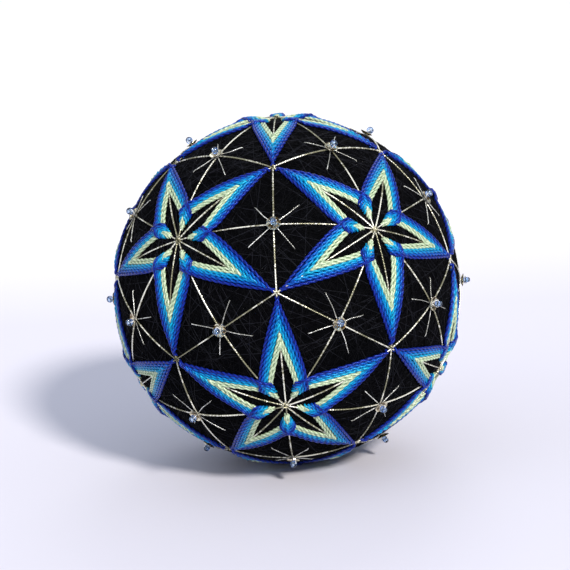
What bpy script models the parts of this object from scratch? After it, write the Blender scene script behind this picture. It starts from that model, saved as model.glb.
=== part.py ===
# Temari ball: a thread-wrapped ball in a ten-fold combination division, with twelve
# stitched five-armed stars and thirty cup sequins, each with a glass seed bead.
# The origin is on the floor under the ball's centre, +Z runs up through two star centres,
# and -Y points at the lower star that faces the viewer. Units are metres.

from math import atan, cos, degrees, radians, sin

import bmesh
import bpy
from mathutils import Matrix, Vector

# The wrapped ball
BALL_RADIUS = 0.0500
BALL_SEGMENTS = 64
BALL_RINGS = 32
BALL_CENTRE_HEIGHT = 0.0509   # the lowest star's stitches are pressed flat under the ball

# The ten-fold division: angles between the star centres, and from a pole to each ring
STAR_TO_STAR = degrees(atan(2))            # 63.43, between neighbouring star centres
STAR_TO_BEAD = STAR_TO_STAR / 2            # 31.72, from a star centre to a bead beside it
FRONT_AZIMUTH = -90.0                      # the lower ring has a star at this azimuth
FIFTH = 72.0                               # a fifth of a turn
TENTH = 36.0                               # a tenth of a turn

# One star: a zigzag band of six rounds of thread, in degrees from the star's centre
INNER_TIP = 19.8       # the first round's point, along an arm
OUTER_TIP = 35.8       # the last round's point
INNER_CORNER = 5.6     # where the first round's sides meet between two arms
OUTER_CORNER = 13.0    # where the last round's sides meet between two arms
STACK_NOSE = 3.2       # the piled stitches start here, on the line between two arms
STACK_TAIL = 12.7      # and end here, in the notch between the arms
SEAT = 0.00046         # height of the underside above the ball, over the marking threads
THREAD_HEIGHT = 0.00075
TIP_CROSSING = 0.00035         # extra height where the threads cross along an arm
STACK_INNER_HEIGHT = 0.00095   # the stitches pile up between the arms, lower at the centre
STACK_OUTER_HEIGHT = 0.00210

# The band's closed section, walked round once.
# Columns: share of the width from the inner edge, share of the height above the seat
BAND_SECTION = (
    (1.00, 0.00),
    (0.50, 0.00),
    (0.00, 0.00),
    (0.00, 0.60),
    (0.12, 1.00),
    (0.50, 1.00),
    (0.88, 1.00),
    (1.00, 0.60),
)

# Places along one side of an arm, from its tip to the piled stitches.
# Columns: share of the way to the pile's foot, share of the way from its foot to its ridge,
# share of the tip's crossing, share of the pile's height
ARM_STATIONS = (
    (0.00, 0.0, 1.0, 0.0),
    (0.34, 0.0, 0.0, 0.0),
    (0.68, 0.0, 0.0, 0.0),
    (1.00, 0.0, 0.0, 0.0),
    (1.00, 0.45, 0.0, 0.9),
    (1.00, 1.0, 0.0, 1.0),
)

# The pile's foot, as a share of the way from a tip to its corner: about 2 mm off the ridge
INNER_FOOT = 0.79
OUTER_FOOT = 0.88

# A cup sequin with a seed bead on it, turned as one piece.
# Columns: radius, height above the ball; from the bead's top down the outer side
BEAD_TURNS = 12
BEAD_PROFILE = (
    (0.0, 0.00340),
    (0.00068, 0.00320),
    (0.00102, 0.00240),
    (0.00070, 0.00155),
    (0.00190, 0.00065),
    (0.00190, 0.00045),
    (0.0, 0.00105),
)

# The rings of stars and of beads.
# Columns: name, how many, angle from the top, azimuth of the first
STAR_RINGS = (
    ("star_upper", 5, STAR_TO_STAR, FRONT_AZIMUTH + TENTH),
    ("star_lower", 5, 180.0 - STAR_TO_STAR, FRONT_AZIMUTH),
)
BEAD_RINGS = (
    ("bead_top", 5, STAR_TO_BEAD, FRONT_AZIMUTH + TENTH),
    ("bead_upper", 5, 90.0 - STAR_TO_BEAD, FRONT_AZIMUTH + FIFTH),
    ("bead_middle", 10, 90.0, FRONT_AZIMUTH + TENTH / 2),
    ("bead_lower", 5, 90.0 + STAR_TO_BEAD, FRONT_AZIMUTH + TENTH),
    ("bead_bottom", 5, 180.0 - STAR_TO_BEAD, FRONT_AZIMUTH),
)

# The flat that the ball stands on
CUTTER_SIZE = 0.060
CUTTER_DEPTH = 0.010

BALL_CENTRE = Vector((0.0, 0.0, BALL_CENTRE_HEIGHT))
UP = Vector((0.0, 0.0, 1.0))


def on_sphere(polar_degrees, azimuth_degrees):
    """A unit direction from its angle off +Z and its azimuth."""
    polar = radians(polar_degrees)
    azimuth = radians(azimuth_degrees)
    return Vector((sin(polar) * cos(azimuth), sin(polar) * sin(azimuth), cos(polar)))


def placed(outward, sideways):
    """A matrix at the ball's centre with +Z along outward and +X leaning to sideways."""
    across = (sideways - outward * sideways.dot(outward)).normalized()
    turned = Matrix((across, outward.cross(across), outward)).transposed()
    return Matrix.Translation(BALL_CENTRE) @ turned.to_4x4()


def mixed(first, last, share):
    return first + (last - first) * share


def material(name, colour, roughness, metallic):
    made = bpy.data.materials.new(name)
    made.use_nodes = True
    shader = made.node_tree.nodes["Principled BSDF"]
    shader.inputs["Base Color"].default_value = (*colour, 1.0)
    shader.inputs["Roughness"].default_value = roughness
    shader.inputs["Metallic"].default_value = metallic
    made.diffuse_color = (*colour, 1.0)
    return made


def collection(name):
    made = bpy.data.collections.new(name)
    bpy.context.scene.collection.children.link(made)
    return made


def add_object(name, mesh, home, matrix):
    made = bpy.data.objects.new(name, mesh)
    home.objects.link(made)
    made.matrix_world = matrix
    return made


def ball_mesh(surface):
    """The wrapped ball as one sphere."""
    mesh = bpy.data.meshes.new("ball")
    bm = bmesh.new()
    bmesh.ops.create_uvsphere(
        bm, u_segments=BALL_SEGMENTS, v_segments=BALL_RINGS, radius=BALL_RADIUS
    )
    bm.to_mesh(mesh)
    bm.free()
    mesh.shade_smooth()
    mesh.materials.append(surface)
    return mesh


def band_point(across, height_share, station, tip_turn, corner_turn):
    """A point of the star's band: on the straight run of thread from a tip towards the
    corner beside it, or past the foot of the piled stitches, on their slope."""
    along, up_pile, crossing, pile = station
    tip = on_sphere(mixed(INNER_TIP, OUTER_TIP, across), tip_turn)
    corner = on_sphere(mixed(INNER_CORNER, OUTER_CORNER, across), corner_turn)
    ridge = on_sphere(mixed(STACK_NOSE, STACK_TAIL, across), corner_turn)
    run = tip.slerp(corner, along * mixed(INNER_FOOT, OUTER_FOOT, across))
    stack_height = mixed(STACK_INNER_HEIGHT, STACK_OUTER_HEIGHT, across)
    height = THREAD_HEIGHT + TIP_CROSSING * crossing + (stack_height - THREAD_HEIGHT) * pile
    return run.slerp(ridge, up_pile) * (BALL_RADIUS + SEAT + height * height_share)


def band_loop(across, height_share):
    """One zigzag loop round the star, through five tips and five corners."""
    points = []
    for arm in range(5):
        tip_turn = TENTH + arm * FIFTH
        for station in ARM_STATIONS[:-1]:
            points.append(band_point(across, height_share, station, tip_turn, tip_turn + TENTH))
        for station in ARM_STATIONS[:0:-1]:
            next_tip = tip_turn + FIFTH
            points.append(band_point(across, height_share, station, next_tip, tip_turn + TENTH))
    return points


def star_mesh(surface):
    """A star's band: zigzag loops round its section, each bridged to the next.
    +Z is the star's centre, and +X points between two arms."""
    mesh = bpy.data.meshes.new("star")
    bm = bmesh.new()
    loops = []
    for across, height_share in BAND_SECTION:
        points = band_loop(across, height_share)
        ring = bmesh.ops.create_circle(bm, segments=len(points), radius=BALL_RADIUS)["verts"]
        for vertex, point in zip(ring, points):
            vertex.co = point
        loops.append([edge for edge in bm.edges if edge.verts[0] in ring and edge.verts[1] in ring])
    for loop, following in zip(loops, loops[1:] + loops[:1]):
        bmesh.ops.bridge_loops(bm, edges=loop + following)
    bmesh.ops.triangulate(bm, faces=bm.faces, quad_method="SHORT_EDGE")
    bmesh.ops.recalc_face_normals(bm, faces=bm.faces)
    bm.to_mesh(mesh)
    bm.free()
    mesh.materials.append(surface)
    return mesh


def floor_cutter(home):
    """A slab under the floor, which takes the bottom star's stitches down to a flat."""
    mesh = bpy.data.meshes.new("floor_cutter")
    bm = bmesh.new()
    bmesh.ops.create_cube(bm, size=1.0)
    bmesh.ops.scale(bm, vec=(CUTTER_SIZE, CUTTER_SIZE, CUTTER_DEPTH), verts=bm.verts)
    bm.to_mesh(mesh)
    bm.free()
    cutter = add_object("floor_cutter", mesh, home, Matrix.Translation((0, 0, -CUTTER_DEPTH / 2)))
    cutter.hide_render = True
    cutter.display_type = "WIRE"
    return cutter


def cut_flat(star, cutter):
    cut = star.modifiers.new("flat_spot", "BOOLEAN")
    cut.operation = "DIFFERENCE"
    cut.solver = "EXACT"
    cut.object = cutter


def bead_mesh(surface):
    """The half outline of a sequin and its bead, in the local XZ plane."""
    mesh = bpy.data.meshes.new("bead")
    bm = bmesh.new()
    points = [bm.verts.new((radius, 0.0, BALL_RADIUS + height)) for radius, height in BEAD_PROFILE]
    for upper, lower in zip(points, points[1:]):
        bm.edges.new((upper, lower))
    bm.to_mesh(mesh)
    bm.free()
    mesh.materials.append(surface)
    return mesh


def turn_bead(bead):
    screw = bead.modifiers.new("turned", "SCREW")
    screw.axis = "Z"
    screw.steps = BEAD_TURNS
    screw.render_steps = BEAD_TURNS
    screw.use_merge_vertices = True
    screw.merge_threshold = 0.00001
    screw.use_smooth_shade = False


def add_stars(mesh, home, cutter):
    """One star at each pole and five in each ring round the ball."""
    add_object("star_top", mesh, home, placed(UP, on_sphere(90.0, FRONT_AZIMUTH + TENTH)))
    bottom = add_object("star_bottom", mesh, home, placed(-UP, on_sphere(90.0, FRONT_AZIMUTH)))
    cut_flat(bottom, cutter)
    for name, count, polar, first in STAR_RINGS:
        pole = UP if polar < 90.0 else -UP
        for number in range(count):
            outward = on_sphere(polar, first + number * 360.0 / count)
            add_object(f"{name}_{number + 1}", mesh, home, placed(outward, pole))


def add_beads(mesh, home):
    """A sequin with its bead at each point midway between two star centres."""
    for name, count, polar, first in BEAD_RINGS:
        for number in range(count):
            azimuth = first + number * 360.0 / count
            outward = on_sphere(polar, azimuth)
            sideways = on_sphere(90.0, azimuth + 90.0)
            turn_bead(add_object(f"{name}_{number + 1}", mesh, home, placed(outward, sideways)))


def main():
    for old in list(bpy.data.objects):
        bpy.data.objects.remove(old, do_unlink=True)
    pieces = collection("temari_ball")
    cutters = collection("cutters")
    black_thread = material("black_thread", (0.012, 0.012, 0.018), 0.85, 0.0)
    blue_thread = material("blue_thread", (0.03, 0.25, 0.62), 0.55, 0.0)
    silver_foil = material("silver_foil", (0.72, 0.72, 0.66), 0.25, 1.0)
    add_object("ball", ball_mesh(black_thread), pieces, Matrix.Translation(BALL_CENTRE))
    add_stars(star_mesh(blue_thread), pieces, floor_cutter(cutters))
    add_beads(bead_mesh(silver_foil), pieces)


main()
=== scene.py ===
import random
from math import atan, atan2, cos, degrees, pi, radians, sin

import bmesh
import bpy
from mathutils import Matrix, Vector


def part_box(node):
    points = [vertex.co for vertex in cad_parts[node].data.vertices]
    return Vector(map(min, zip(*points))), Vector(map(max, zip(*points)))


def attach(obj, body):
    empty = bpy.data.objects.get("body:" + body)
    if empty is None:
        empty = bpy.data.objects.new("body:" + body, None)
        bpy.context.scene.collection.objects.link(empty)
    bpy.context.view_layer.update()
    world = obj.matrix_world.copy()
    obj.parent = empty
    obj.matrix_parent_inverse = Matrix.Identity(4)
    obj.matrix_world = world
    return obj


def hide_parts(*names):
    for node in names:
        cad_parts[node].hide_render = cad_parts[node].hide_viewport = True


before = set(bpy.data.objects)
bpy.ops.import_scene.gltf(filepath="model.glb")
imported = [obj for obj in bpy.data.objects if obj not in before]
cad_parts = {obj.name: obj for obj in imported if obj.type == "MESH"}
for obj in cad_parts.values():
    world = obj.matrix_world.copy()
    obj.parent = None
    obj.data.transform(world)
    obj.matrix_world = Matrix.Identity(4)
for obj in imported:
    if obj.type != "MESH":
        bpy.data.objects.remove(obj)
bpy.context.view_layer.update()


# The floor, the lights and the camera. The floor is a pale plain board. The camera stands
# where the picture was taken from: a little to the right of the front star, slightly above
# the ball, and rolled a few degrees. The board is lavender near the ball, whiter beyond it.
BALL_LOW, BALL_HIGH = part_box("ball")
CENTRE = (BALL_LOW + BALL_HIGH) / 2
RADIUS = (BALL_HIGH.z - BALL_LOW.z) / 2
PICTURE_SIDE = 570
CAMERA_AZIMUTH = 3.29
CAMERA_HEIGHT = 11.63
CAMERA_ROLL = -3.81
CAMERA_DISTANCE = 9.41 * RADIUS
FOCAL_PIXELS = 1607.8
SENSOR = 36.0
BALL_MIDDLE_PIXEL = (287.4, 289.3)
FLOOR_REACH = 40.0
FLOOR_FADE = (0.20, 0.50)   # the board turns whiter between these distances behind the ball
KEY_FROM = (56.0, -59.0)    # each light's angle off +Z, and its azimuth
FILL_FROM = (60.0, -150.0)
BACK_FROM = (45.0, 80.0)
LAMP_DISTANCE = 0.9
LAMP_POWER = 1.0


def on_sphere(polar_degrees, azimuth_degrees):
    """A unit direction from its angle off +Z and its azimuth."""
    polar = radians(polar_degrees)
    azimuth = radians(azimuth_degrees)
    return Vector((sin(polar) * cos(azimuth), sin(polar) * sin(azimuth), cos(polar)))


def area_light(name, direction, size, colour):
    """A round soft lamp that faces the ball from a direction."""
    light = bpy.data.lights.new(name, "AREA")
    light.shape = "DISK"
    light.size = size
    light.energy = LAMP_POWER
    light.color = colour
    lamp = bpy.data.objects.new(name, light)
    bpy.context.scene.collection.objects.link(lamp)
    lamp.location = CENTRE + direction * LAMP_DISTANCE
    lamp.rotation_euler = direction.to_track_quat("Z", "Y").to_euler()


bm = bmesh.new()
bmesh.ops.create_grid(bm, x_segments=2, y_segments=2, size=FLOOR_REACH)
floor_mesh = bpy.data.meshes.new("floor")
bm.to_mesh(floor_mesh)
bm.free()
floor = bpy.data.objects.new("floor", floor_mesh)
bpy.context.scene.collection.objects.link(floor)
floor_paint = bpy.data.materials.new("pale_floor")
floor_paint.use_nodes = True
floor_nodes = floor_paint.node_tree.nodes
floor_links = floor_paint.node_tree.links
floor_place = floor_nodes.new("ShaderNodeTexCoord")
floor_depth = floor_nodes.new("ShaderNodeSeparateXYZ")
floor_links.new(floor_place.outputs["Object"], floor_depth.inputs["Vector"])
floor_span = floor_nodes.new("ShaderNodeMapRange")
floor_span.inputs["From Min"].default_value = FLOOR_FADE[0]
floor_span.inputs["From Max"].default_value = FLOOR_FADE[1]
floor_links.new(floor_depth.outputs["Y"], floor_span.inputs["Value"])
floor_tint = floor_nodes.new("ShaderNodeValToRGB")
floor_tint.color_ramp.elements[0].color = (0.65, 0.645, 0.74, 1.0)
floor_tint.color_ramp.elements[1].color = (0.86, 0.86, 0.88, 1.0)
floor_links.new(floor_span.outputs["Result"], floor_tint.inputs["Fac"])
floor_shader = floor_nodes["Principled BSDF"]
floor_links.new(floor_tint.outputs["Color"], floor_shader.inputs["Base Color"])
floor_shader.inputs["Roughness"].default_value = 0.6
floor_mesh.materials.append(floor_paint)

sun = bpy.data.lights.new("key_light", "SUN")
sun.energy = 4.25
sun.angle = radians(9.0)
sun.color = (1.0, 0.94, 0.85)
sun_lamp = bpy.data.objects.new("key_light", sun)
bpy.context.scene.collection.objects.link(sun_lamp)
sun_lamp.rotation_euler = on_sphere(*KEY_FROM).to_track_quat("Z", "Y").to_euler()
area_light("fill_light", on_sphere(*FILL_FROM), 0.6, (0.93, 0.96, 1.0))
area_light("back_light", on_sphere(*BACK_FROM), 0.4, (1.0, 1.0, 1.0))

world = bpy.data.worlds.new("studio")
world.use_nodes = True
world_nodes = world.node_tree.nodes
world_links = world.node_tree.links
around = world_nodes.new("ShaderNodeTexCoord")
height = world_nodes.new("ShaderNodeSeparateXYZ")
world_links.new(around.outputs["Generated"], height.inputs["Vector"])
sky = world_nodes.new("ShaderNodeValToRGB")
sky.color_ramp.elements[0].position = 0.03
sky.color_ramp.elements[0].color = (1.15, 1.16, 1.20, 1.0)
sky.color_ramp.elements[1].position = 0.55
sky.color_ramp.elements[1].color = (0.82, 0.88, 1.0, 1.0)
sky.color_ramp.elements.new(0.16).color = (0.26, 0.27, 0.31, 1.0)
world_links.new(height.outputs["Z"], sky.inputs["Fac"])
world_links.new(sky.outputs["Color"], world_nodes["Background"].inputs["Color"])
world_nodes["Background"].inputs["Strength"].default_value = 0.72
bpy.context.scene.world = world
bpy.context.scene.view_settings.view_transform = "Standard"

camera_data = bpy.data.cameras.new("camera")
camera_data.sensor_width = SENSOR
camera_data.lens = FOCAL_PIXELS / PICTURE_SIDE * SENSOR
camera_data.shift_x = (PICTURE_SIDE / 2 - BALL_MIDDLE_PIXEL[0]) / PICTURE_SIDE
camera_data.shift_y = (BALL_MIDDLE_PIXEL[1] - PICTURE_SIDE / 2) / PICTURE_SIDE
camera = bpy.data.objects.new("camera", camera_data)
bpy.context.scene.collection.objects.link(camera)
towards_camera = on_sphere(90.0 - CAMERA_HEIGHT, CAMERA_AZIMUTH - 90.0)
turned = towards_camera.to_track_quat("Z", "Y").to_matrix().to_4x4()
camera.matrix_world = (
    Matrix.Translation(CENTRE + towards_camera * CAMERA_DISTANCE)
    @ turned
    @ Matrix.Rotation(radians(CAMERA_ROLL), 4, "Z")
)
bpy.context.scene.camera = camera


# The wrapped ball: a light core bound all over with fine black sewing thread, wound at
# random. The wound ground is one round form with a fine criss-cross relief, and the top
# layer of the winding is real turns of thread round it.
GROUND_RADIUS = RADIUS - 0.00008
GROUND_SEGMENTS = 128
GROUND_RINGS = 64
WRAP_TURNS = 500
WRAP_POINTS = 48
WRAP_THREAD = 0.00011       # half the thread's thickness
WRAP_LIFT = (-0.00005, 0.00005)
WRAP_WEAVE = 0.00009        # how far a turn rises and sinks among the others,
WRAP_WEAVES = (3, 8)        # and how often
WRAP_WANDER = 0.0011        # how far it wanders to the side,
WRAP_WANDERS = (2, 5)       # and how often
WRAP_OFF_CENTRE = 0.010     # how far a turn strays from a full circle round the ball
WRAP_PIECES = 2
# Every so many turns of the winding are painted paler: a painted sheen.
WRAP_SHEEN_EVERY = 4              # one turn in so many catches more light
SAME_POINT = 0.0000001      # points closer than this are one
winding = random.Random(11)


def new_piece(name, mesh):
    """Puts a mesh, already in place, in the scene as a piece that rides on the ball's body."""
    piece = bpy.data.objects.new(name, mesh)
    bpy.context.scene.collection.objects.link(piece)
    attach(piece, "root")
    return piece


def thread_section(name, half_width, sides, ply):
    """The outline of a thread, as a curve that others take for their bevel. ply is how far
    the strands stand out, as a share of the half width, for a two-strand twist."""
    curve = bpy.data.curves.new(name, "CURVE")
    curve.dimensions = "2D"
    outline = curve.splines.new("POLY")
    outline.points.add(sides - 1)
    for number, point in enumerate(outline.points):
        turn = -2 * pi * number / sides
        reach = half_width * (1 + ply * cos(2 * turn))
        point.co = (reach * cos(turn), reach * sin(turn), 0.0, 1.0)
    outline.use_cyclic_u = True
    section = bpy.data.objects.new(name, curve)
    bpy.context.scene.collection.objects.link(section)
    section.hide_render = True
    return section


def threads_to_mesh(name, section, runs, materials):
    """Turns runs of thread into one mesh. Each run is a list of points with the thread's
    turn at each, then whether it closes on itself, then the number of its material."""
    curve = bpy.data.curves.new(name, "CURVE")
    curve.dimensions = "3D"
    curve.bevel_mode = "OBJECT"
    curve.bevel_object = section
    curve.use_fill_caps = True
    for material in materials:
        curve.materials.append(material)
    for points, closed, number in runs:
        spline = curve.splines.new("POLY")
        spline.points.add(len(points) - 1)
        for place, (point, turn) in zip(spline.points, points):
            place.co = (*point, 1.0)
            place.tilt = turn
        spline.use_cyclic_u = closed
        spline.material_index = number
        spline.use_smooth = True
    guide = bpy.data.objects.new(name + "_guide", curve)
    bpy.context.scene.collection.objects.link(guide)
    graph = bpy.context.evaluated_depsgraph_get()
    mesh = bpy.data.meshes.new_from_object(guide.evaluated_get(graph))
    mesh.name = name
    bpy.data.objects.remove(guide)
    bpy.data.curves.remove(curve)
    bm = bmesh.new()
    bm.from_mesh(mesh)
    bmesh.ops.remove_doubles(bm, verts=bm.verts, dist=SAME_POINT)
    bm.to_mesh(mesh)
    bm.free()
    return mesh


def nodes_of(name):
    """A new material, its nodes, its links and its Principled shader."""
    material = bpy.data.materials.new(name)
    material.use_nodes = True
    tree = material.node_tree
    return material, tree.nodes, tree.links, tree.nodes["Principled BSDF"]


def black_winding(name, relief, dark, pale, shine):
    """Matt black cotton: a fine criss-cross of fibres, with a few greyer ones."""
    material, nodes, links, shader = nodes_of(name)
    place = nodes.new("ShaderNodeTexCoord")
    strands = nodes.new("ShaderNodeTexNoise")
    strands.inputs["Scale"].default_value = 900.0
    strands.inputs["Detail"].default_value = 6.0
    strands.inputs["Roughness"].default_value = 0.7
    links.new(place.outputs["Object"], strands.inputs["Vector"])
    tint = nodes.new("ShaderNodeValToRGB")
    tint.color_ramp.elements[0].position = 0.35
    tint.color_ramp.elements[0].color = (dark, dark * 1.1, dark * 1.9, 1.0)
    tint.color_ramp.elements[1].position = 0.75
    tint.color_ramp.elements[1].color = (pale, pale * 1.1, pale * 1.7, 1.0)
    links.new(strands.outputs["Fac"], tint.inputs["Fac"])
    links.new(tint.outputs["Color"], shader.inputs["Base Color"])
    crossing = []
    for number, direction in enumerate(("X", "Y", "Z")):
        bands = nodes.new("ShaderNodeTexWave")
        bands.bands_direction = direction
        bands.inputs["Scale"].default_value = 760.0 + 60.0 * number
        bands.inputs["Distortion"].default_value = 6.0
        bands.inputs["Detail"].default_value = 2.0
        links.new(place.outputs["Object"], bands.inputs["Vector"])
        crossing.append(bands)
    first = nodes.new("ShaderNodeMath")
    first.operation = "MAXIMUM"
    links.new(crossing[0].outputs["Fac"], first.inputs[0])
    links.new(crossing[1].outputs["Fac"], first.inputs[1])
    second = nodes.new("ShaderNodeMath")
    second.operation = "MAXIMUM"
    links.new(first.outputs["Value"], second.inputs[0])
    links.new(crossing[2].outputs["Fac"], second.inputs[1])
    bump = nodes.new("ShaderNodeBump")
    bump.inputs["Distance"].default_value = relief
    bump.inputs["Strength"].default_value = 0.8
    links.new(second.outputs["Value"], bump.inputs["Height"])
    links.new(bump.outputs["Normal"], shader.inputs["Normal"])
    shader.inputs["Roughness"].default_value = 0.75
    shader.inputs["Specular IOR Level"].default_value = shine
    return material


bm = bmesh.new()
bmesh.ops.create_uvsphere(
    bm,
    u_segments=GROUND_SEGMENTS,
    v_segments=GROUND_RINGS,
    radius=GROUND_RADIUS,
    matrix=Matrix.Translation(CENTRE),
)
ground_mesh = bpy.data.meshes.new("wrapped_ball")
bm.to_mesh(ground_mesh)
bm.free()
ground_mesh.shade_smooth()
ground_mesh.materials.append(black_winding("black_winding", 0.00012, 0.0003, 0.0016, 0.02))
wrapped_ball = new_piece("wrapped_ball", ground_mesh)
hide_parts("ball")

wrap_section = thread_section("wrap_section", WRAP_THREAD, 3, 0.0)
wrap_threads = [
    black_winding("black_thread", 0.00003, 0.0006, 0.0030, 0.05),
    # painted sheen: a paler copy of the black thread for the turns that catch more light
    black_winding("sheen_thread", 0.00003, 0.0032, 0.0110, 0.12),
]
for piece_number in range(WRAP_PIECES):
    turns = []
    for turn in range(WRAP_TURNS // WRAP_PIECES):
        axis = Vector([winding.gauss(0, 1) for _ in range(3)]).normalized()
        across = axis.orthogonal().normalized()
        along = axis.cross(across)
        lean = winding.uniform(-WRAP_OFF_CENTRE, WRAP_OFF_CENTRE) / RADIUS
        lift = RADIUS + winding.uniform(*WRAP_LIFT)
        weave_start, wander_start = winding.uniform(0, 2 * pi), winding.uniform(0, 2 * pi)
        weave_count, wander_count = winding.randint(*WRAP_WEAVES), winding.randint(*WRAP_WANDERS)
        points = []
        for step in range(WRAP_POINTS):
            angle = 2 * pi * step / WRAP_POINTS
            side = lean + WRAP_WANDER / RADIUS * sin(angle * wander_count + wander_start)
            rise = lift + WRAP_WEAVE * sin(angle * weave_count + weave_start)
            out = across * cos(angle) + along * sin(angle) + axis * side
            points.append((CENTRE + out.normalized() * rise, 0.0))
        turns.append((points, True, 1 if turn % WRAP_SHEEN_EVERY == 0 else 0))
    wrap_name = f"wrap_thread_{piece_number + 1}"
    wrap_mesh = threads_to_mesh(wrap_name, wrap_section, turns, wrap_threads)
    new_piece(wrap_name, wrap_mesh)


# The marking threads: champagne metallic cord laid tight round the ball in fifteen great
# circles. They cross at the star centres, at the star tips and at the beads, and a tack
# of finer cord holds them at the first two.
STAR_TO_STAR = degrees(atan(2))
FRONT_AZIMUTH = -90.0
FIFTH = 72.0
TENTH = 36.0
MARKING_CORD = 0.00020      # half the cord's thickness
MARKING_LIFT = 0.00020      # height of the lowest circle's middle above the ball
MARKING_LAYERS = 5          # the circles lie in so many layers where they cross,
MARKING_LAYER = 0.00004     # each this much higher
MARKING_POINTS = 400
MARKING_TURNS = 200         # turns of the cord's twist in one circle
MARKING_STRAY = 0.00016     # how far a circle strays to the side,
MARKING_WAVES = 3           # in so many waves,
MARKING_WAVE_COUNTS = (3, 9)    # and how often each
STRAND_WAVE = 4 * pi        # two strands lie round a thread, so its shade repeats twice
strays = random.Random(5)

star_centres = {"star_top": on_sphere(0.0, 0.0), "star_bottom": on_sphere(180.0, 0.0)}
for number in range(5):
    upper = on_sphere(STAR_TO_STAR, FRONT_AZIMUTH + TENTH + number * FIFTH)
    lower = on_sphere(180.0 - STAR_TO_STAR, FRONT_AZIMUTH + number * FIFTH)
    star_centres[f"star_upper_{number + 1}"] = upper
    star_centres[f"star_lower_{number + 1}"] = lower


def metallic_cord(name, painted_shade, bright, turns):
    """Metal foil twisted round a core, with painted light: bright lengths and glints painted
    into its colour as painted highlights, and a painted shade between them. The cord's own UV
    map runs along it and round it, and the foil's twist follows that."""
    material, nodes, links, shader = nodes_of(name)
    place = nodes.new("ShaderNodeTexCoord")
    glints = nodes.new("ShaderNodeTexNoise")
    glints.inputs["Scale"].default_value = 1700.0
    glints.inputs["Detail"].default_value = 3.0
    links.new(place.outputs["Object"], glints.inputs["Vector"])
    lit_lengths = nodes.new("ShaderNodeTexNoise")
    lit_lengths.inputs["Scale"].default_value = 110.0
    links.new(place.outputs["Object"], lit_lengths.inputs["Vector"])
    shine = nodes.new("ShaderNodeMath")
    shine.operation = "MULTIPLY_ADD"
    shine.inputs[1].default_value = 1.2
    links.new(lit_lengths.outputs["Fac"], shine.inputs[0])
    links.new(glints.outputs["Fac"], shine.inputs[2])
    # painted highlights: where the noise runs high the cord is painted bright, elsewhere in its
    # painted shade colour
    tint = nodes.new("ShaderNodeValToRGB")
    tint.color_ramp.elements[0].position = 0.86
    tint.color_ramp.elements[0].color = (*painted_shade, 1.0)
    tint.color_ramp.elements[1].position = 1.0
    tint.color_ramp.elements[1].color = (*bright, 1.0)
    brightness = nodes.new("ShaderNodeMath")
    brightness.operation = "MULTIPLY"
    brightness.inputs[1].default_value = 0.83
    links.new(shine.outputs["Value"], brightness.inputs[0])
    links.new(brightness.outputs["Value"], tint.inputs["Fac"])
    links.new(tint.outputs["Color"], shader.inputs["Base Color"])
    on_cord = nodes.new("ShaderNodeSeparateXYZ")
    links.new(place.outputs["UV"], on_cord.inputs["Vector"])
    along = nodes.new("ShaderNodeMath")
    along.operation = "MULTIPLY"
    along.inputs[1].default_value = STRAND_WAVE * turns
    links.new(on_cord.outputs["X"], along.inputs[0])
    spiral = nodes.new("ShaderNodeMath")
    spiral.operation = "MULTIPLY_ADD"
    spiral.inputs[1].default_value = STRAND_WAVE
    links.new(on_cord.outputs["Y"], spiral.inputs[0])
    links.new(along.outputs["Value"], spiral.inputs[2])
    strand = nodes.new("ShaderNodeMath")
    strand.operation = "COSINE"
    links.new(spiral.outputs["Value"], strand.inputs[0])
    relief = nodes.new("ShaderNodeMath")
    relief.operation = "MULTIPLY_ADD"
    relief.inputs[1].default_value = 0.35
    links.new(strand.outputs["Value"], relief.inputs[0])
    links.new(glints.outputs["Fac"], relief.inputs[2])
    bump = nodes.new("ShaderNodeBump")
    bump.inputs["Distance"].default_value = 0.00008
    bump.inputs["Strength"].default_value = 0.6
    links.new(relief.outputs["Value"], bump.inputs["Height"])
    links.new(bump.outputs["Normal"], shader.inputs["Normal"])
    shader.inputs["Metallic"].default_value = 0.45
    shader.inputs["Roughness"].default_value = 0.26
    return material


marking_section = thread_section("marking_section", MARKING_CORD, 6, 0.10)
# the champagne cord's painted shade colour and painted highlight colour
marking_metal = metallic_cord(
    "champagne_cord", (0.21, 0.205, 0.13), (0.86, 0.86, 0.76), MARKING_TURNS
)
centres = list(star_centres.values())
# A bead lies midway between each two neighbouring stars, and each circle lies round the
# ball a quarter turn from two opposite beads.
bead_places = []
for number, first in enumerate(centres):
    for second in centres[number + 1:]:
        if 1.0 < degrees(first.angle(second)) < STAR_TO_STAR + 1.0:
            bead_places.append((first + second).normalized())
mirror_poles = []
for place in bead_places:
    if all(abs(place.dot(pole)) < 0.99 for pole in mirror_poles):
        mirror_poles.append(place)
circles = []
for number, pole in enumerate(mirror_poles):
    across = pole.orthogonal().normalized()
    along = pole.cross(across)
    lift = RADIUS + MARKING_LIFT + MARKING_LAYER * (number % MARKING_LAYERS)
    waves = [
        (strays.uniform(0, 2 * pi), strays.randint(*MARKING_WAVE_COUNTS))
        for _ in range(MARKING_WAVES)
    ]
    points = []
    for step in range(MARKING_POINTS):
        angle = 2 * pi * step / MARKING_POINTS
        stray = sum(sin(angle * count + start) for start, count in waves)
        stray *= MARKING_STRAY / MARKING_WAVES
        out = across * cos(angle) + along * sin(angle) + pole * stray / RADIUS
        points.append((CENTRE + out.normalized() * lift, 0.0))
    circles.append((points, True, 0))
marking_mesh = threads_to_mesh("marking_threads", marking_section, circles, [marking_metal])
new_piece("marking_threads", marking_mesh)
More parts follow.
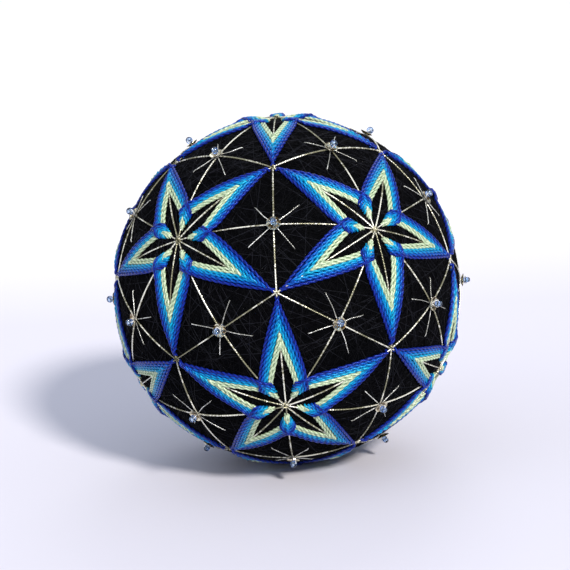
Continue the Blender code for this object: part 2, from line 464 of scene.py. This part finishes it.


# The stars: each is six rounds of pearl cotton, two cream, then cyan, azure, royal blue and
# ultramarine, stitched as a zigzag from the centre outwards. The outermost ultramarine is darker
# than the royal blue partly as painted shade at the star's edge. A thread crosses its neighbour
# at each tip, and between the arms it wraps all the earlier ones, so that they pile up.
COTTON = 0.00039            # half the thread's thickness
COTTON_STRANDS = 0.20       # how far its two strands stand out, as a share of that
COTTON_TWIST = 0.0036       # length of one full turn of the twist
COTTON_STEPS = 8            # points in one turn of the twist
COTTON_STEP = COTTON_TWIST / COTTON_STEPS
ROUNDS = 6
FIRST_TIP, LAST_TIP = 21.8, 35.4            # degrees from the star's centre
TIP_STRAY = 0.25            # degrees
TWIST_STRAY = (0.85, 1.15)  # how tight a thread's twist is, next to the others
ARM_LIFT = 0.00036          # height of the thread's middle above the ball, on an arm
TIP_LIFT = 0.00028          # it climbs this much over the marking thread at a tip,
TIP_CROSSING = 0.00036      # and this much more where it lies over the other thread there
TIP_END_PAST = 0.0010       # beyond that crossing it ends, this much further out,
LAST_END_PAST = 0.0004      # or this much on the outermost round,
TIP_END_ACROSS = 0.00022    # and this far to the side,
TIP_END_LIFT = ARM_LIFT * 0.7
SINK_PAST = 0.0001          # where it sinks into the ball, this much further out
SINK_ACROSS = 0.0003        # and to the side,
SINK_DEPTH = -0.0007        # to this depth
BULGE = (0.00018, 0.00038)  # how far the arm's innermost and outermost rows bow outwards
BULGE_STRAY = 0.00005
ARM_STATIONS = (
    # share of the way from the tip to the corner, share of the bow there
    (0.12, 0.2),
    (0.30, 0.8),
    (0.55, 1.0),
)
CORNER_STRAY = 0.0001
PILE_FOOT = 0.0023          # a thread starts to climb the pile this far before it crosses,
PILE_FOOT_BOW = 0.5         # with this share of the bow left as far again before that
PILE_UPPER = 0.00015        # the second thread of a corner lies this much above the first
PILE_PART = 0.6             # at this share of the way from its crossing to its end
PILE_PART_FALL = 0.35       # a thread has come down by this share
TUCK = 0.0006               # past its end a thread runs on this far, in under the pile,
TUCK_LIFT = 0.00010         # at this height,
TUCK_ACROSS = (0.8, 0.7)    # and this share as far to the side, at the top and when sunk
SOFTENING = 4               # how often a thread's bends are smoothed
PILE_ROUNDS = (
    # where on the guide line the arm aims, and where the thread crosses it; its end beyond:
    # along the line, across it; its height at the pile's side, at the crossing, at the end
    (0.0065, 0.0051, 0.0037, 0.00025, 0.00034, 0.00048, 0.00040),
    (0.0074, 0.0061, 0.0045, 0.00060, 0.00034, 0.00062, 0.00048),
    (0.0083, 0.0072, 0.0055, 0.00115, 0.00035, 0.00082, 0.00062),
    (0.0091, 0.0082, 0.0064, 0.00152, 0.00037, 0.00100, 0.00075),
    (0.0100, 0.0093, 0.0072, 0.00184, 0.00038, 0.00111, 0.00083),
    (0.0109, 0.0103, 0.0080, 0.00212, 0.00038, 0.00120, 0.00089),
)
ROUND_COTTONS = (0, 0, 1, 2, 3, 4)
COTTONS = (
    # name, colour on the strands' crests, a painted highlight, in the hollows, a painted shade,
    # and in the gloss
    ("cream_cotton", (0.52, 0.64, 0.45), (0.18, 0.26, 0.15), (1.0, 1.0, 0.90)),
    ("cyan_cotton", (0.003, 0.34, 0.58), (0.001, 0.08, 0.20), (0.25, 0.90, 1.0)),
    ("azure_cotton", (0.002, 0.225, 0.58), (0.001, 0.045, 0.18), (0.20, 0.70, 1.0)),
    ("royal_cotton", (0.004, 0.088, 0.47), (0.001, 0.009, 0.11), (0.15, 0.48, 1.0)),
    # darker partly as painted shade: this outermost round lies at the star's edge
    ("ultramarine_cotton", (0.007, 0.022, 0.28), (0.002, 0.002, 0.04), (0.16, 0.30, 1.0)),
)
PILE_FILLING = (
    # tucked threads that fill a pile over the guide line: start, end, height, cotton
    (0.0068, 0.0087, 0.00058, 2),
    (0.0086, 0.0102, 0.00064, 3),
)
FILLING_TOP = (0.25, 0.75)  # such a thread is at full height between these shares of its length
PRESS_TO = 0.0013           # what lies lower than this is pressed flat against the floor
stitching = random.Random(23)


def pearl_cotton(name, lit_crest, painted_shade, gloss):
    """Mercerised cotton of two strands, glossy, with painted light: darker in the hollows
    between them, a painted shade, and lighter on their crests, a painted highlight. The thread's
    own UV map runs round it, so its Y tells the strands from the hollows."""
    material, nodes, links, shader = nodes_of(name)
    place = nodes.new("ShaderNodeTexCoord")
    fibres = nodes.new("ShaderNodeTexNoise")
    fibres.inputs["Scale"].default_value = 2600.0
    fibres.inputs["Detail"].default_value = 4.0
    links.new(place.outputs["Object"], fibres.inputs["Vector"])
    around = nodes.new("ShaderNodeSeparateXYZ")
    links.new(place.outputs["UV"], around.inputs["Vector"])
    turn = nodes.new("ShaderNodeMath")
    turn.operation = "MULTIPLY"
    turn.inputs[1].default_value = STRAND_WAVE
    links.new(around.outputs["Y"], turn.inputs[0])
    strand = nodes.new("ShaderNodeMath")
    strand.operation = "COSINE"
    links.new(turn.outputs["Value"], strand.inputs[0])
    strand_shade_and_fibres = nodes.new("ShaderNodeMath")
    strand_shade_and_fibres.operation = "MULTIPLY_ADD"
    strand_shade_and_fibres.inputs[1].default_value = 0.19
    links.new(strand.outputs["Value"], strand_shade_and_fibres.inputs[0])
    links.new(fibres.outputs["Fac"], strand_shade_and_fibres.inputs[2])
    # painted light: the colour runs from a painted shade in the strands' hollows to a painted
    # highlight on their crests, with fibres of random tone
    tint = nodes.new("ShaderNodeValToRGB")
    tint.color_ramp.elements[0].position = 0.25
    tint.color_ramp.elements[0].color = (*painted_shade, 1.0)
    tint.color_ramp.elements[1].position = 0.75
    tint.color_ramp.elements[1].color = (*lit_crest, 1.0)
    links.new(strand_shade_and_fibres.outputs["Value"], tint.inputs["Fac"])
    links.new(tint.outputs["Color"], shader.inputs["Base Color"])
    bump = nodes.new("ShaderNodeBump")
    bump.inputs["Distance"].default_value = 0.00006
    bump.inputs["Strength"].default_value = 0.5
    links.new(fibres.outputs["Fac"], bump.inputs["Height"])
    links.new(bump.outputs["Normal"], shader.inputs["Normal"])
    shader.inputs["Roughness"].default_value = 0.30
    shader.inputs["Specular IOR Level"].default_value = 0.55
    shader.inputs["Specular Tint"].default_value = (*gloss, 1.0)
    return material


def mixed(first, last, share):
    """The value at a share of the way from the first to the last."""
    return first + (last - first) * share


def beside_guide(facing, guide, along, across):
    """The direction of a point given along and across one of the star's guide lines."""
    on_guide = facing @ on_sphere(degrees(along / RADIUS), guide)
    sideways = facing @ on_sphere(90.0, guide + 90.0)
    return on_guide * cos(across / RADIUS) + sideways * sin(across / RADIUS)


def laid_thread(stations, number, turned, tightness, spacing=COTTON_STEP, softening=SOFTENING):
    """A thread laid from station to station, each a direction and a height above the
    ball, and rounded where it bends. number is its material's."""
    points = []
    for (near, low), (far, high) in zip(stations, stations[1:]):
        gap = max(near.angle(far) * RADIUS, abs(high - low))
        steps = max(1, round(gap / spacing))
        for step in range(steps):
            share = step / steps
            points.append(near.slerp(far, share) * (RADIUS + mixed(low, high, share)))
    points.append(stations[-1][0] * (RADIUS + stations[-1][1]))
    for _ in range(softening):
        inner = [(a + 2 * b + c) / 4 for a, b, c in zip(points, points[1:], points[2:])]
        points = [points[0]] + inner + [points[-1]]
    twist = 2 * pi / COTTON_STEPS * tightness
    laid = [(CENTRE + point, turned + step * twist) for step, point in enumerate(points)]
    return laid, False, number


def stitched_run(facing, round_number, tip_guide, side, tip_stray):
    """One thread of an arm: from past its crossing at the tip, down one side of the arm,
    and over the pile between this arm and the next."""
    share = round_number / (ROUNDS - 1)
    pile_round = PILE_ROUNDS[round_number]
    aim, crossing, end_along, end_across, foot_height, pile_height, end_height = pile_round
    tip_along = radians(mixed(FIRST_TIP, LAST_TIP, share) + tip_stray) * RADIUS
    corner_guide = tip_guide + side * TENTH
    end_across *= side
    tip_height = ARM_LIFT + TIP_LIFT + (TIP_CROSSING if side > 0 else 0.0)
    pile_height += PILE_UPPER if side < 0 else 0.0
    tip = beside_guide(facing, tip_guide, tip_along, 0.0)
    aim += stitching.uniform(-CORNER_STRAY, CORNER_STRAY)
    corner = beside_guide(facing, corner_guide, aim, 0.0)
    foot = PILE_FOOT / RADIUS / tip.angle(corner)
    away = corner.cross(tip).normalized() * side
    bow = mixed(*BULGE, share) + stitching.uniform(-BULGE_STRAY, BULGE_STRAY)

    def on_arm(part, bowed):
        return (tip.slerp(corner, part) + away * (bow * bowed / RADIUS)).normalized()

    def by_corner(along, across):
        return beside_guide(facing, corner_guide, along, across)

    past = tip_along + (TIP_END_PAST if round_number < ROUNDS - 1 else LAST_END_PAST)
    sunk_across = -side * (TIP_END_ACROSS + SINK_ACROSS)
    part_along = mixed(crossing, end_along, PILE_PART)
    tuck_along = end_along - TUCK
    stations = [
        (beside_guide(facing, tip_guide, past + SINK_PAST, sunk_across), SINK_DEPTH),
        (beside_guide(facing, tip_guide, past, -side * TIP_END_ACROSS), TIP_END_LIFT),
        (tip, tip_height),
    ]
    stations += [(on_arm(part, bowed), ARM_LIFT) for part, bowed in ARM_STATIONS]
    stations += [
        (on_arm(1.0 - foot * 2, PILE_FOOT_BOW), ARM_LIFT),
        (on_arm(1.0 - foot, 0.0), foot_height),
        (by_corner(crossing, 0.0), pile_height),
        (
            by_corner(part_along, end_across * PILE_PART),
            mixed(pile_height, end_height, PILE_PART_FALL),
        ),
        (by_corner(end_along, end_across), end_height),
        (by_corner(tuck_along, end_across * TUCK_ACROSS[0]), TUCK_LIFT),
        (by_corner(tuck_along, end_across * TUCK_ACROSS[1]), SINK_DEPTH),
    ]
    turned, tightness = stitching.uniform(0, pi), stitching.uniform(*TWIST_STRAY)
    return laid_thread(stations, ROUND_COTTONS[round_number], turned, tightness)


def star_runs(outward, towards_corner):
    """All the runs of one star, round by round, from its centre outwards."""
    across = (towards_corner - outward * outward.dot(towards_corner)).normalized()
    facing = Matrix((across, outward.cross(across), outward)).transposed()
    runs = []
    for round_number in range(ROUNDS):
        for arm in range(5):
            tip_guide = TENTH + arm * FIFTH
            tip_stray = stitching.uniform(-TIP_STRAY, TIP_STRAY)
            for side in (1, -1):
                runs.append(stitched_run(facing, round_number, tip_guide, side, tip_stray))
    for arm in range(5):
        guide = arm * FIFTH
        for start, end, rise, number in PILE_FILLING:
            first_top, last_top = (mixed(start, end, share) for share in FILLING_TOP)
            stations = [
                (beside_guide(facing, guide, start, 0.0), 0.0),
                (beside_guide(facing, guide, first_top, 0.0), rise),
                (beside_guide(facing, guide, last_top, 0.0), rise),
                (beside_guide(facing, guide, end, 0.0), 0.0),
            ]
            runs.append(laid_thread(stations, number, 0.0, 1.0, softening=1))
    return runs


def press_to_floor(mesh):
    """Squashes the lowest stitches between the floor and the ball, keeping their order."""
    lowest = min(vertex.co.z for vertex in mesh.vertices)
    for vertex in mesh.vertices:
        if vertex.co.z < PRESS_TO:
            vertex.co.z = PRESS_TO * (vertex.co.z - lowest) / (PRESS_TO - lowest)


cotton_section = thread_section("cotton_section", COTTON, 8, COTTON_STRANDS)
cottons = [pearl_cotton(*row) for row in COTTONS]
for name, outward in star_centres.items():
    if name == "star_top":
        corner_way = star_centres["star_upper_1"]
    elif name == "star_bottom":
        corner_way = star_centres["star_lower_1"]
    else:
        corner_way = star_centres["star_top" if "upper" in name else "star_bottom"]
    piece_name = "stitched_" + name
    runs = star_runs(outward, corner_way)
    star_mesh = threads_to_mesh(piece_name, cotton_section, runs, cottons)
    if name == "star_bottom":
        press_to_floor(star_mesh)
    stitched = new_piece(piece_name, star_mesh)
    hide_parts(name)


# The tacks: a few short stitches of fine gold cord over each place where the marking
# threads cross at a star's centre or at the star tips.
TACK_CORD = 0.00016         # half the cord's thickness
TACK_STEP = 0.00035
TACK_TURNS = 2              # turns of its twist in a stitch
TACK_HEIGHT = 0.00052       # of the lowest stitch's middle above the ball
TACK_LAYER = 0.00009        # each next stitch lies this much higher
TACK_MIDDLE = 0.0001
TACK_SHOULDER = (0.75, 0.6)  # share of a stitch's reach, share of its height there
TACK_SINK = -0.0004
TACK_STRAY = (9.0, 0.00025)  # in degrees, and to the side
STAR_TACKS = (18.0, 30.0, 6, (0.0009, 0.0013))  # first stitch's azimuth, step, count, reach
TIP_TACKS = (10.0, 60.0, 3, (0.0006, 0.0010))
TIP_FROM_CENTRE = 30.0      # a tip is more degrees than this from a star's centre
tacking = random.Random(31)


def small_stitches(place, first_turn, turn_step, count, reach):
    """Short stitches crossed over one place on the ball."""
    facing = place.to_track_quat("Z", "Y").to_matrix()
    runs = []
    for number in range(count):
        guide = first_turn + number * turn_step + tacking.uniform(-TACK_STRAY[0], TACK_STRAY[0])
        half = tacking.uniform(*reach)
        shift = tacking.uniform(-TACK_STRAY[1], TACK_STRAY[1])
        top = TACK_HEIGHT + TACK_LAYER * number
        shoulder, shoulder_height = half * TACK_SHOULDER[0], top * TACK_SHOULDER[1]
        stations = [
            (beside_guide(facing, guide + 180.0, half, -shift), TACK_SINK),
            (beside_guide(facing, guide + 180.0, shoulder, -shift), shoulder_height),
            (beside_guide(facing, guide, TACK_MIDDLE, shift), top),
            (beside_guide(facing, guide, shoulder, shift), shoulder_height),
            (beside_guide(facing, guide, half, shift), TACK_SINK),
        ]
        runs.append(laid_thread(stations, 0, 0.0, 1.0, TACK_STEP, 1))
    return runs


# Star tips meet where three star centres are nearest and equally far.
tip_places = []
for place in [a + b + c for a in centres for b in centres for c in centres]:
    place = place.normalized()
    nearest = sorted(place.angle(centre) for centre in centres)[:3]
    if nearest[2] - nearest[0] < 0.01 and nearest[0] > radians(TIP_FROM_CENTRE):
        if all(place.angle(other) > 0.1 for other in tip_places):
            tip_places.append(place)
tack_section = thread_section("tack_section", TACK_CORD, 5, 0.0)
tack_runs = []
for place in centres:
    tack_runs += small_stitches(place, *STAR_TACKS)
for place in tip_places:
    tack_runs += small_stitches(place, *TIP_TACKS)
# the gold cord's painted shade colour and painted highlight colour
gold_cord = metallic_cord("gold_cord", (0.050, 0.048, 0.018), (0.62, 0.58, 0.38), TACK_TURNS)
tack_mesh = threads_to_mesh("tacks", tack_section, tack_runs, [gold_cord])
press_to_floor(tack_mesh)
new_piece("tacks", tack_mesh)


# The short rays: four loose stitches of fine metallic thread round each sequin, between
# the marking threads, each a little different in length and direction.
RAY_THREAD = 0.00012        # half the thread's thickness
RAY_TURNS = 8               # turns of its twist in a ray
RAY_STEP = 0.0006
RAY_START = 0.0009
RAY_START_LIFT = 0.00040
RAY_LIFT = 0.00016          # height of the thread's middle above the ball
RAY_END = (0.0010, 0.0004)  # it rises between these distances before its end,
RAY_END_LIFT = 0.00036      # to this height,
RAY_SINK = -0.00030         # and sinks into the ball at its end
RAY_REACH = (0.0072, 0.0096)
RAY_TURN = 10.0             # degrees
RAY_BEND = 0.0003
rays = []
ray_makers = random.Random(41)
for place in bead_places:
    neighbour = min(centres, key=place.angle)
    across = (neighbour - place * place.dot(neighbour)).normalized()
    facing = Matrix((across, place.cross(across), place)).transposed()
    for quarter in range(4):
        guide = 45.0 + 90.0 * quarter + ray_makers.uniform(-RAY_TURN, RAY_TURN)
        reach = ray_makers.uniform(*RAY_REACH)
        bend = ray_makers.uniform(-RAY_BEND, RAY_BEND)
        stations = [
            (beside_guide(facing, guide, RAY_START, 0.0), RAY_START_LIFT),
            (beside_guide(facing, guide, reach / 2, bend), RAY_LIFT),
            (beside_guide(facing, guide, reach - RAY_END[0], 0.0), RAY_LIFT),
            (beside_guide(facing, guide, reach - RAY_END[1], 0.0), RAY_END_LIFT),
            (beside_guide(facing, guide, reach, 0.0), RAY_SINK),
        ]
        rays.append(laid_thread(stations, 0, 0.0, 1.0, RAY_STEP, 1))
ray_section = thread_section("ray_section", RAY_THREAD, 5, 0.0)
# the silver thread's painted shade colour and painted highlight colour
ray_metal = metallic_cord("silver_thread", (0.32, 0.325, 0.30), (0.90, 0.92, 0.88), RAY_TURNS)
ray_mesh = threads_to_mesh("short_rays", ray_section, rays, [ray_metal])
new_piece("short_rays", ray_mesh)


# The sequins: thin faceted cups of bright foil, each lying hollow side up on the crossing
# of two marking threads, with its bead and holding thread through the middle.
SEQUIN_RINGS = (
    # radius, height, how far every second point stands up
    (0.00035, 0.00000, 0.00000),
    (0.00095, 0.00006, 0.00010),
    (0.00150, 0.00034, 0.00014),
    (0.00190, 0.00056, 0.00000),
)
SEQUIN_SIDES = 16
SEQUIN_THICKNESS = 0.00007
SEQUIN_LIFT = 0.00068       # height of its middle above the ball
SEQUIN_TILT = 7.0           # degrees
BEAD_RISE = 0.00170         # from the sequin's middle to the bead's
BEAD_LEAN = 0.0008          # how far the bead's middle strays to the side
BEAD_SIDES = 24
BEAD_OUTLINE = (
    # along the hole, out from its axis
    (-0.00073, 0.00048),
    (-0.00068, 0.00068),
    (-0.00052, 0.00088),
    (-0.00028, 0.00099),
    (0.00000, 0.00103),
    (0.00028, 0.00099),
    (0.00052, 0.00088),
    (0.00068, 0.00068),
    (0.00073, 0.00048),
    (0.00066, 0.00038),
    (0.00000, 0.00036),
    (-0.00066, 0.00038),
)
HOLDING_THREAD = 0.00014    # half the thread's thickness
HOLDING_PATH = (
    # along the bead's hole, and up from the sequin's middle
    (-0.00012, -0.00100),
    (-0.00020, 0.00010),
    (-0.00085, 0.00100),
    (-0.00098, 0.00155),
    (-0.00060, 0.00170),
    (0.00060, 0.00170),
    (0.00098, 0.00155),
    (0.00085, 0.00100),
    (0.00020, 0.00010),
    (0.00012, -0.00100),
)
beading = random.Random(53)


def sequin_foil():
    """Gold and silver foil, mirror-bright with a slight crease, its colour painted in patches of
    dark olive and pale gold as painted reflections of its facets.
    """
    material, nodes, links, shader = nodes_of("sequin_foil")
    place = nodes.new("ShaderNodeTexCoord")
    creases_and_reflections = nodes.new("ShaderNodeTexNoise")
    creases_and_reflections.inputs["Scale"].default_value = 900.0
    creases_and_reflections.inputs["Detail"].default_value = 2.0
    links.new(place.outputs["Object"], creases_and_reflections.inputs["Vector"])
    # painted reflections: patches of dark olive and pale gold stand in for facets mirroring dark
    # and bright things
    tint = nodes.new("ShaderNodeValToRGB")
    tint.color_ramp.elements[0].position = 0.40
    tint.color_ramp.elements[0].color = (0.14, 0.085, 0.030, 1.0)
    tint.color_ramp.elements[1].position = 0.60
    tint.color_ramp.elements[1].color = (0.92, 0.87, 0.64, 1.0)
    links.new(creases_and_reflections.outputs["Fac"], tint.inputs["Fac"])
    links.new(tint.outputs["Color"], shader.inputs["Base Color"])
    bump = nodes.new("ShaderNodeBump")
    bump.inputs["Distance"].default_value = 0.00002
    bump.inputs["Strength"].default_value = 0.3
    links.new(creases_and_reflections.outputs["Fac"], bump.inputs["Height"])
    links.new(bump.outputs["Normal"], shader.inputs["Normal"])
    shader.inputs["Metallic"].default_value = 1.0
    shader.inputs["Roughness"].default_value = 0.10
    return material


def bead_glass():
    """Clear light blue glass, deeper blue towards its edge, where more of it is looked
    through, and painted nearly white in the middle as a painted highlight, with faint streaks of
    painted highlight and shade."""
    material, nodes, links, shader = nodes_of("bead_glass")
    place = nodes.new("ShaderNodeTexCoord")
    highlight_streaks = nodes.new("ShaderNodeTexNoise")
    highlight_streaks.inputs["Scale"].default_value = 900.0
    links.new(place.outputs["Object"], highlight_streaks.inputs["Vector"])
    edge = nodes.new("ShaderNodeLayerWeight")
    edge.inputs["Blend"].default_value = 0.45
    depth_and_highlights = nodes.new("ShaderNodeMath")
    depth_and_highlights.operation = "MULTIPLY_ADD"
    depth_and_highlights.inputs[1].default_value = 0.50
    links.new(highlight_streaks.outputs["Fac"], depth_and_highlights.inputs[0])
    links.new(edge.outputs["Facing"], depth_and_highlights.inputs[2])
    # painted highlight: the middle, where the bead faces the eye, is painted nearly white, and
    # the streaks paint glints and dark slits
    tint = nodes.new("ShaderNodeValToRGB")
    tint.color_ramp.elements[0].position = 0.32
    tint.color_ramp.elements[0].color = (0.62, 0.80, 1.0, 1.0)
    tint.color_ramp.elements[1].position = 0.95
    tint.color_ramp.elements[1].color = (0.005, 0.02, 0.12, 1.0)
    tint.color_ramp.elements.new(0.62).color = (0.05, 0.16, 0.55, 1.0)
    links.new(depth_and_highlights.outputs["Value"], tint.inputs["Fac"])
    links.new(tint.outputs["Color"], shader.inputs["Base Color"])
    shader.inputs["Transmission Weight"].default_value = 1.0
    shader.inputs["IOR"].default_value = 1.5
    shader.inputs["Roughness"].default_value = 0.02
    return material


def spun(name, outline, axis, sides):
    """A closed ring made by turning a closed outline of (x, z) points about an axis."""
    bm = bmesh.new()
    corners = [bm.verts.new((x, 0.0, z)) for x, z in outline]
    edges = [bm.edges.new((a, b)) for a, b in zip(corners, corners[1:] + corners[:1])]
    bmesh.ops.spin(
        bm,
        geom=corners + edges,
        cent=(0, 0, 0),
        axis=axis,
        angle=2 * pi,
        steps=sides,
        use_merge=True,
    )
    bmesh.ops.remove_doubles(bm, verts=bm.verts, dist=0.000002)
    bmesh.ops.recalc_face_normals(bm, faces=bm.faces)
    mesh = bpy.data.meshes.new(name)
    bm.to_mesh(mesh)
    bm.free()
    return mesh


foil = sequin_foil()
glass = bead_glass()
# pale holding thread: painted highlight on its strands' crests, painted shade in their hollows
holder = pearl_cotton("holding_thread", (0.74, 0.76, 0.78), (0.40, 0.42, 0.46), (1.0, 1.0, 1.0))
holding_section = thread_section("holding_section", HOLDING_THREAD, 5, 0.0)
upper_side = [(radius, rise) for radius, rise, _ in SEQUIN_RINGS]
under_side = [(radius, rise - SEQUIN_THICKNESS) for radius, rise in reversed(upper_side)]
for node_name in sorted(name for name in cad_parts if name.startswith("bead_")):
    low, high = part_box(node_name)
    towards_node = (low + high) / 2 - CENTRE
    place = min(bead_places, key=towards_node.angle)
    label = node_name.removeprefix("bead_")
    facing = place.to_track_quat("Z", "Y").to_matrix()
    facing = (facing @ Matrix.Rotation(beading.uniform(0, 2 * pi), 3, "Z")).to_4x4()
    sits = Matrix.Translation(CENTRE + place * (RADIUS + SEQUIN_LIFT)) @ facing

    sequin_mesh = spun("sequin_" + label, upper_side + under_side, (0, 0, 1), SEQUIN_SIDES)
    for vertex in sequin_mesh.vertices:
        reach = vertex.co.xy.length
        ring = min(SEQUIN_RINGS, key=lambda row: abs(row[0] - reach))
        side = round(SEQUIN_SIDES * atan2(vertex.co.y, vertex.co.x) / (2 * pi))
        vertex.co.z += ring[2] * (side % 2)
    tilt = Matrix.Rotation(radians(beading.uniform(-SEQUIN_TILT, SEQUIN_TILT)), 4, "Y")
    sequin_mesh.transform(sits @ tilt)
    sequin_mesh.materials.append(foil)
    sequin = new_piece("sequin_" + label, sequin_mesh)
    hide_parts(node_name)

    lean = Matrix.Rotation(beading.uniform(-BEAD_LEAN, BEAD_LEAN) / BEAD_RISE, 4, "X")
    bead_mesh = spun("glass_bead_" + label, BEAD_OUTLINE, (1, 0, 0), BEAD_SIDES)
    bead_mesh.transform(sits @ lean @ Matrix.Translation((0, 0, BEAD_RISE)))
    bead_mesh.shade_smooth()
    bead_mesh.materials.append(glass)
    bead = new_piece("glass_bead_" + label, bead_mesh)
    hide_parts(node_name)

    loop = [(sits @ lean @ Vector((along, 0.0, up)), 0.0) for along, up in HOLDING_PATH]
    holding_name = "holding_thread_" + label
    loop_mesh = threads_to_mesh(holding_name, holding_section, [(loop, False, 0)], [holder])
    holding = new_piece(holding_name, loop_mesh)
    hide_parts(node_name)
